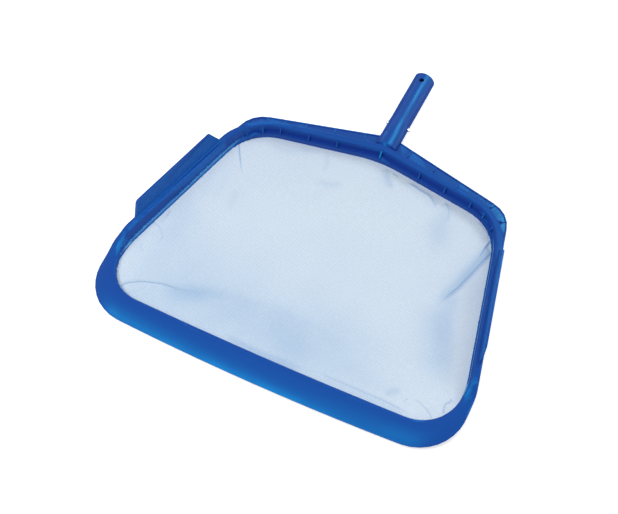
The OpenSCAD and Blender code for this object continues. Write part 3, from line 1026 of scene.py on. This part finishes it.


# Each fold has its points, height, steep and gentle widths and ends, then the painted shade
# that shows on it. A fold of height 0 is painted shade alone.
NET_FOLDS = (
    Fold(((-177, 52), (-167, 36), (-156, 19), (-144, 2)), 1.0, 2.5, 7.0, (0.02, 0.7), line=0.75,
         pleat=0.9),
    Fold(((-203, -204), (-200, -199), (-194, -194), (-185, -188), (-172, -183), (-159, -179),
          (-148, -178), (-132, -176), (-114, -169)), 1.6, 3.0, 9.0, (0.02, 0.4), line=0.85,
         pleat=0.8),
    Fold(((-168, -183), (-156, -180), (-144, -179), (-129, -176), (-112, -168), (-95, -158),
          (-75, -149)), 0.8, 9.0, 13.0, (0.35, 0.5), tint=0.26),
    Fold(((-197, -208), (-189, -207), (-183, -203), (-179, -198), (-177, -189)), 0.7, 2.0, 4.0,
         (0.2, 0.3), line=0.3, pleat=0.9),
    Fold(((-215, -105), (-207, -107), (-200, -112), (-194, -119), (-194, -128), (-197, -134),
          (-205, -138)), 0.7, 2.5, 5.0, (0.05, 0.45), line=0.32, pleat=1.3),
    Fold(((-214, -134), (-210, -144), (-203, -150), (-195, -153)), 0.4, 3.0, 5.0, (0.3, 0.4),
         line=0.2, pleat=2.0),
    Fold(((-205, -79), (-204, -89), (-206, -97)), 0.5, 3.0, 5.0, (0.1, 0.6), line=0.4, pleat=1.3),
    Fold(((-187, 3), (-183, -20), (-181, -37), (-179, -56)), 0.9, 7.0, 5.0, (0.2, 0.4), tint=0.08),
    Fold(((-148, -5), (-144, -20), (-142, -38), (-140, -53)), 0.9, 5.0, 6.0, (0.3, 0.4), tint=0.12),
    Fold(((-175, 18), (-166, -8), (-164, -35), (-165, -53)), 0.7, 5.0, 6.0, (0.2, 0.4), tint=0.06),
    Fold(((-191, -38), (-190, -55), (-191, -72), (-192, -88)), 0.6, 7.0, 7.0, (0.2, 0.4),
         tint=0.08),
    Fold(((-144, 72), (-132, 67), (-115, 68), (-99, 75), (-84, 81), (-71, 81)), 0.8, 3.0, 6.0,
         (0.2, 0.3), tint=0.1),
    Fold(((-70, 85), (-61, 79), (-58, 67), (-61, 55)), 0.7, 3.0, 5.0, (0.2, 0.4), line=0.12,
         pleat=2.0, tint=0.14),
    Fold(((-63, 47), (-49, 45), (-36, 48), (-27, 58)), 0.6, 4.0, 6.0, (0.3, 0.3), tint=0.14),
    Fold(((13, 100), (18, 89), (27, 79), (36, 70)), 0.9, 3.0, 6.0, (0.15, 0.4), tint=0.3),
    Fold(((22, 96), (30, 93), (37, 91)), 0.4, 2.0, 4.0, (0.1, 0.6), line=0.5, pleat=1.1),
    Fold(((45, 90), (56, 88), (67, 85), (78, 83), (87, 77), (97, 68)), 1.3, 3.0, 8.0, (0.15, 0.2),
         line=0.62, pleat=1.3, tint=0.1),
    Fold(((100, 82), (109, 74), (113, 63), (116, 50)), 0.9, 3.0, 7.0, (0.1, 0.45), line=0.4,
         pleat=1.1, tint=0.15),
    Fold(((94, 80), (106, 52), (115, 27), (125, -8)), 0.8, 14.0, 14.0, (0.45, 0.5), tint=0.24),
    Fold(((147, 74), (155, 70), (165, 63), (172, 53)), 0.5, 2.0, 4.0, (0.2, 0.2), line=0.4,
         pleat=1.3),
    Fold(((174, 55), (172, 40), (171, 26), (169, 12)), 1.5, 2.5, 6.0, (0.02, 0.5), line=1.0,
         pleat=0.9),
    Fold(((182, 40), (177, 24), (172, 5), (167, -13), (163, -27), (157, -40), (153, -51),
          (150, -63)), 2.0, 3.0, 10.0, (0.02, 0.3), line=0.8, pleat=1.3, tint=0.36),
    Fold(((176, 38), (171, 18), (165, -4), (160, -26)), 0.7, 6.0, 6.0, (0.1, 0.4), tint=0.15),
    Fold(((-196, -50), (-188, -95), (-188, -140)), 0.0, 30.0, 14.0, (0.4, 0.4), tint=0.1),
    Fold(((162, -29), (166, -53), (172, -73), (182, -98), (192, -126), (203, -154), (208, -169)),
         1.6, 6.0, 13.0, (0.1, 0.35), tint=0.24),
    Fold(((159, -48), (160, -73), (167, -98), (176, -123), (190, -153), (201, -169)), 0.8, 9.0,
         20.0, (0.2, 0.4), tint=0.2),
    Fold(((215, -166), (214, -173), (211, -177), (211, -183), (213, -190)), 0.8, 2.0, 5.0,
         (0.2, 0.05), line=0.5, pleat=1.0),
    Fold(((174, -187), (182, -188), (191, -192), (198, -196), (204, -202)), 0.7, 2.0, 5.0,
         (0.2, 0.1), line=0.35, pleat=0.9),
    Fold(((168, -197), (167, -193), (170, -189)), 0.3, 2.0, 3.0, (0.2, 0.3), line=0.3, pleat=1.0),
    Fold(((143, -199), (147, -191), (154, -185), (160, -182)), 0.4, 4.0, 5.0, (0.3, 0.3),
         tint=0.22),
    Fold(((47, -206), (62, -205), (82, -205), (103, -205), (126, -205), (148, -205), (169, -206),
          (187, -208)), 0.9, 2.5, 6.0, (0.25, 0.2), line=0.5, pleat=1.1, tint=0.12),
    Fold(((-64, -206), (-41, -209), (-16, -210), (8, -210), (35, -208), (57, -205)), 0.6, 3.0, 5.0,
         (0.15, 0.3), line=0.3, pleat=2.0, tint=0.25),
    Fold(((-150, -178), (-120, -171), (-85, -162), (-45, -155), (0, -151), (50, -155), (105, -166)),
         0.0, 10.0, 36.0, (0.3, 0.45), tint=0.16),
    Fold(((-60, -182), (10, -186), (69, -186), (132, -184), (190, -181)), 0.0, 22.0, 16.0,
         (0.45, 0.45), tint=0.12),
    Fold(((3, -138), (101, -145), (167, -155)), 0.0, 30.0, 30.0, (0.45, 0.45), tint=0.05),
    Fold(((-225, -180), (-85, -180), (60, -190), (210, -205)), 0.0, 75.0, 75.0, (0.1, 0.45),
         tint=0.24),
)


@dataclass(frozen=True)
class BondedBand:
    """The band low on the side walls where the edge of the net shows in the plastic.

    All lengths are in millimetres.
    """

    name: str = "bonded_band"
    top: float = 17.5
    bottom: float = 9.5
    side: float = 150.0
    front: float = -196.0
    back: float = 66.0
    margin: float = 30.0
    steepness: float = 0.3
    proud: float = 0.12
    shortest: float = 25.0
    longest_edge: float = 3.0
    thread_start: float = 4.4

    def on_wall(self, face: bmesh.types.BMFace) -> bool:
        """Whether a face of the frame is on the inside of a side wall.

        Args:
            face: The face.

        Returns:
            Whether it is.
        """
        middle = face.calc_center_median() / MM
        inward = -face.normal.x * math.copysign(1, middle.x)
        turned = inward > self.steepness and face.normal.z > 0.0
        beside = middle.z > self.bottom and abs(middle.x) > self.side
        return turned and beside and (
            self.front - self.margin < middle.y < self.back + self.margin
        )

    def drop_scraps(self, shape: Shape) -> None:
        """Removes the loose scraps that aren't part of the band.

        Args:
            shape: The cut faces.
        """
        left = set(shape.faces)
        scraps = []
        while left:
            island, edge = set(), [left.pop()]
            while edge:
                face = edge.pop()
                island.add(face)
                beside = {other for line in face.edges for other in line.link_faces} & left
                left -= beside
                edge.extend(beside)
            along = [vert.co.y for face in island for vert in face.verts]
            if max(along) - min(along) < self.shortest * MM:
                scraps.extend(island)
        bmesh.ops.delete(shape, geom=scraps, context="FACES")

    def wall_shape(self) -> Shape:
        """Copies the side walls' faces, trims them and moves them proud of the wall.

        Returns:
            The band, without a thickness.
        """
        shape = solid_shape("frame")
        other = [face for face in shape.faces if not self.on_wall(face)]
        bmesh.ops.delete(shape, geom=other, context="FACES")
        cuts = (
            ((0, 0, self.top), (0, 0, 1)),
            ((0, self.back, 0), (0, 1, 0)),
            ((0, self.front, 0), (0, -1, 0)),
        )
        for place, way in cuts:
            slice_shape(shape, Vector(place) * MM, way, clear_outer=True)
        self.drop_scraps(shape)
        long = [edge for edge in shape.edges if edge.calc_length() > self.longest_edge * MM]
        bmesh.ops.subdivide_edges(shape, edges=long, cuts=3, use_grid_fill=True)
        shape.normal_update()
        for vert in shape.verts:
            vert.co += vert.normal * self.proud * MM
        for face in shape.faces:
            face.smooth = True
        return shape

    def build(self) -> Piece:
        """Builds the band from the faces of the side walls.

        Returns:
            The new object.
        """
        shape = self.wall_shape()
        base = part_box("mesh_panel")[0].z / MM + self.thread_start
        rises = [(vert.co.z / MM - base) / (self.top - base) for vert in shape.verts]
        piece = new_piece(self.name, shape, BONDED_WEAVE.material())
        mark_points(piece.data, "level", [max(0.0, min(1.0, rise)) for rise in rises])
        thick = piece.modifiers.new("thickness", "SOLIDIFY")
        thick.thickness = 2 * self.proud * MM
        thick.offset = 0.0
        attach(piece, Body.SKIMMER.value)
        return piece


@dataclass(frozen=True)
class ClipArm:
    """One half of the spring strip, from the pad at its button to its bow."""

    button: Body
    side: int
    pad_half: float = 6.0 * MM
    bow_depth: float = 7.0 * MM
    slices: int = 12
    seam: float = 0.01 * MM

    def half_strip(self, start: float, end: float) -> Shape:
        """Cuts the strip in half and slices its arm across, between the given places.

        Args:
            start: Where the arm starts to bend.
            end: Where it stops.

        Returns:
            The closed half.
        """
        shape = solid_shape("clip_spring")
        slice_shape(shape, (0, 0, 0), (self.side, 0, 0), dist=1e-6, clear_inner=True)
        bmesh.ops.remove_doubles(shape, verts=shape.verts, dist=self.seam)
        bmesh.ops.holes_fill(shape, edges=[edge for edge in shape.edges if edge.is_boundary])
        for step in range(self.slices + 1):
            spot = (0, start + (end - start) * step / self.slices, 0)
            slice_shape(shape, spot, (0, 1, 0), dist=1e-7)
        bmesh.ops.recalc_face_normals(shape, faces=shape.faces)
        return shape

    def build(self, steel: Material) -> Piece:
        """Builds the half strip, sliced along its arm.

        Args:
            steel: The strip's material.

        Returns:
            The new object.
        """
        low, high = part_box(self.button.value)
        start = (low.y + high.y) / 2 + self.pad_half
        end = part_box("clip_spring")[1].y - self.bow_depth
        name = self.button.value.replace("button", "clip_arm")
        piece = new_piece(name, self.half_strip(start, end), steel)
        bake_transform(piece)
        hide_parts("clip_spring")
        return piece


@dataclass(frozen=True)
class ButtonClip:
    """The two arms of the spring strip, and the buttons, which keep their solids."""

    arms: tuple[ClipArm, ...] = (ClipArm(Body.LEFT_BUTTON, -1), ClipArm(Body.RIGHT_BUTTON, 1))

    def build(self) -> list[Piece]:
        """Builds the arms and dresses the buttons.

        Returns:
            The arms.
        """
        polished = BUTTON_STEEL.material()
        for arm in self.arms:
            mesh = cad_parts[arm.button.value].data
            mesh.materials.clear()
            mesh.materials.append(polished)
        steel = SPRING_STEEL.material()
        return [arm.build(steel) for arm in self.arms]


@dataclass(frozen=True)
class Lamp:
    """A soft white lamp aimed at the object, with its width along the floor."""

    name: str
    place: tuple[float, float, float]
    width: float
    depth: float
    power: float

    def build(self, target: Vector) -> None:
        """Adds the lamp.

        Args:
            target: What it points at.
        """
        light = bpy.data.lights.new(self.name, "AREA")
        light.shape = "RECTANGLE"
        light.size = self.width
        light.size_y = self.depth
        light.energy = self.power
        lamp = bpy.data.objects.new(self.name, light)
        lamp.location = self.place
        lamp.rotation_euler = (target - Vector(self.place)).to_track_quat("-Z", "Y").to_euler()
        bpy.context.scene.collection.objects.link(lamp)


@dataclass(frozen=True)
class Studio:
    """The floor, the lamps, the sky and the camera, with lengths in metres."""

    floor_size: float = 12.0
    floor_drop: float = 0.02 * MM
    floor_grey: float = 0.86
    floor_rough: float = 0.9
    floor_glow: float = 0.55
    sky: float = 0.38
    focus: tuple[float, float, float] = (-0.01555, -0.07, 0.016)
    distance: float = 1.588
    turn: float = math.radians(26.04)
    rise: float = math.radians(57.19)
    lens: float = 75.73
    sensor: float = 36.0
    lamps: tuple[Lamp, ...] = (
        Lamp("front_lamp", (-0.33, -0.8, 1.15), 0.45, 0.6, 7.0),
        Lamp("left_lamp", (-0.84, -0.56, 1.2), 0.2, 0.24, 3.2),
        Lamp("right_lamp", (0.22, -0.45, 1.2), 0.16, 0.5, 2.0),
        Lamp("back_lamp", (0.62, 1.13, 1.2), 1.1, 0.38, 11.0),
        Lamp("side_lamp", (1.3, -0.3, 0.9), 1.0, 1.0, 1.2),
    )

    def floor_paper(self) -> Material:
        """Builds the floor's material, which glows only where it is seen.

        Returns:
            A new material.
        """
        material, nodes, shader = new_material("floor_paper")
        nodes.fill(shader, {
            "Base Color": (self.floor_grey,) * 3,
            "Roughness": self.floor_rough,
            "Specular IOR Level": 0.0,
        })
        glow, both = nodes.add("Emission"), nodes.add("AddShader")
        shown = nodes.math("MULTIPLY", nodes.background_seen(), self.floor_glow)
        nodes.link(shown, glow.inputs["Strength"])
        nodes.link(shader.outputs[0], both.inputs[0])
        nodes.link(glow.outputs[0], both.inputs[1])
        surface = material.node_tree.nodes["Material Output"].inputs["Surface"]
        nodes.link(both.outputs[0], surface)
        return material

    def build_floor(self) -> None:
        """Adds the pale floor, which shows the object's shadow."""
        shape = bmesh.new()
        bmesh.ops.create_grid(shape, x_segments=1, y_segments=1, size=self.floor_size / 2)
        bmesh.ops.translate(shape, verts=shape.verts, vec=(0, 0, -self.floor_drop))
        new_piece("floor", shape, self.floor_paper())

    def build_sky(self) -> None:
        """Sets the plain light from all round, which is white where it is seen."""
        world = bpy.data.worlds.new("studio")
        world.use_nodes = True
        nodes = NodeBuilder(world.node_tree)
        background = world.node_tree.nodes["Background"]
        seen = nodes.background_seen()
        strength = nodes.math("MULTIPLY_ADD", seen, 1.0 - self.sky, self.sky)
        nodes.link(strength, background.inputs["Strength"])
        background.inputs["Color"].default_value = (1, 1, 1, 1)
        bpy.context.scene.world = world

    def build_camera(self) -> None:
        """Adds the camera, turned from the front and raised above the floor."""
        flat = math.cos(self.rise)
        away = Vector(
            (math.sin(self.turn) * flat, -math.cos(self.turn) * flat, math.sin(self.rise))
        )
        camera = bpy.data.objects.new("camera", bpy.data.cameras.new("camera"))
        camera.data.lens = self.lens
        camera.data.sensor_width = self.sensor
        camera.data.clip_start = 0.05
        camera.location = Vector(self.focus) + away * self.distance
        camera.rotation_euler = away.to_track_quat("Z", "Y").to_euler()
        bpy.context.scene.collection.objects.link(camera)
        bpy.context.scene.camera = camera

    def build(self) -> None:
        """Builds the whole studio."""
        self.build_floor()
        self.build_sky()
        for lamp in self.lamps:
            lamp.build(Vector(self.focus))
        self.build_camera()
        bpy.context.scene.view_settings.view_transform = "Standard"


def main() -> None:
    """Builds every piece and the studio."""
    logging.basicConfig(level=logging.INFO, format="%(name)s: %(message)s")
    Studio().build()
    pieces = [
        MouldedPiece("frame", "moulded_frame", Slot.FRAME, FRAME_PLASTIC).build(),
        MouldedPiece("handle_tube", "handle_sleeve", Slot.HANDLE, HANDLE_PLASTIC).build(),
        Net(NET_FOLDS).build(),
        BondedBand().build(),
        *ButtonClip().build(),
    ]
    for piece in pieces:
        LOG.info("built %s", piece.name)


if __name__ == "__main__":
    main()
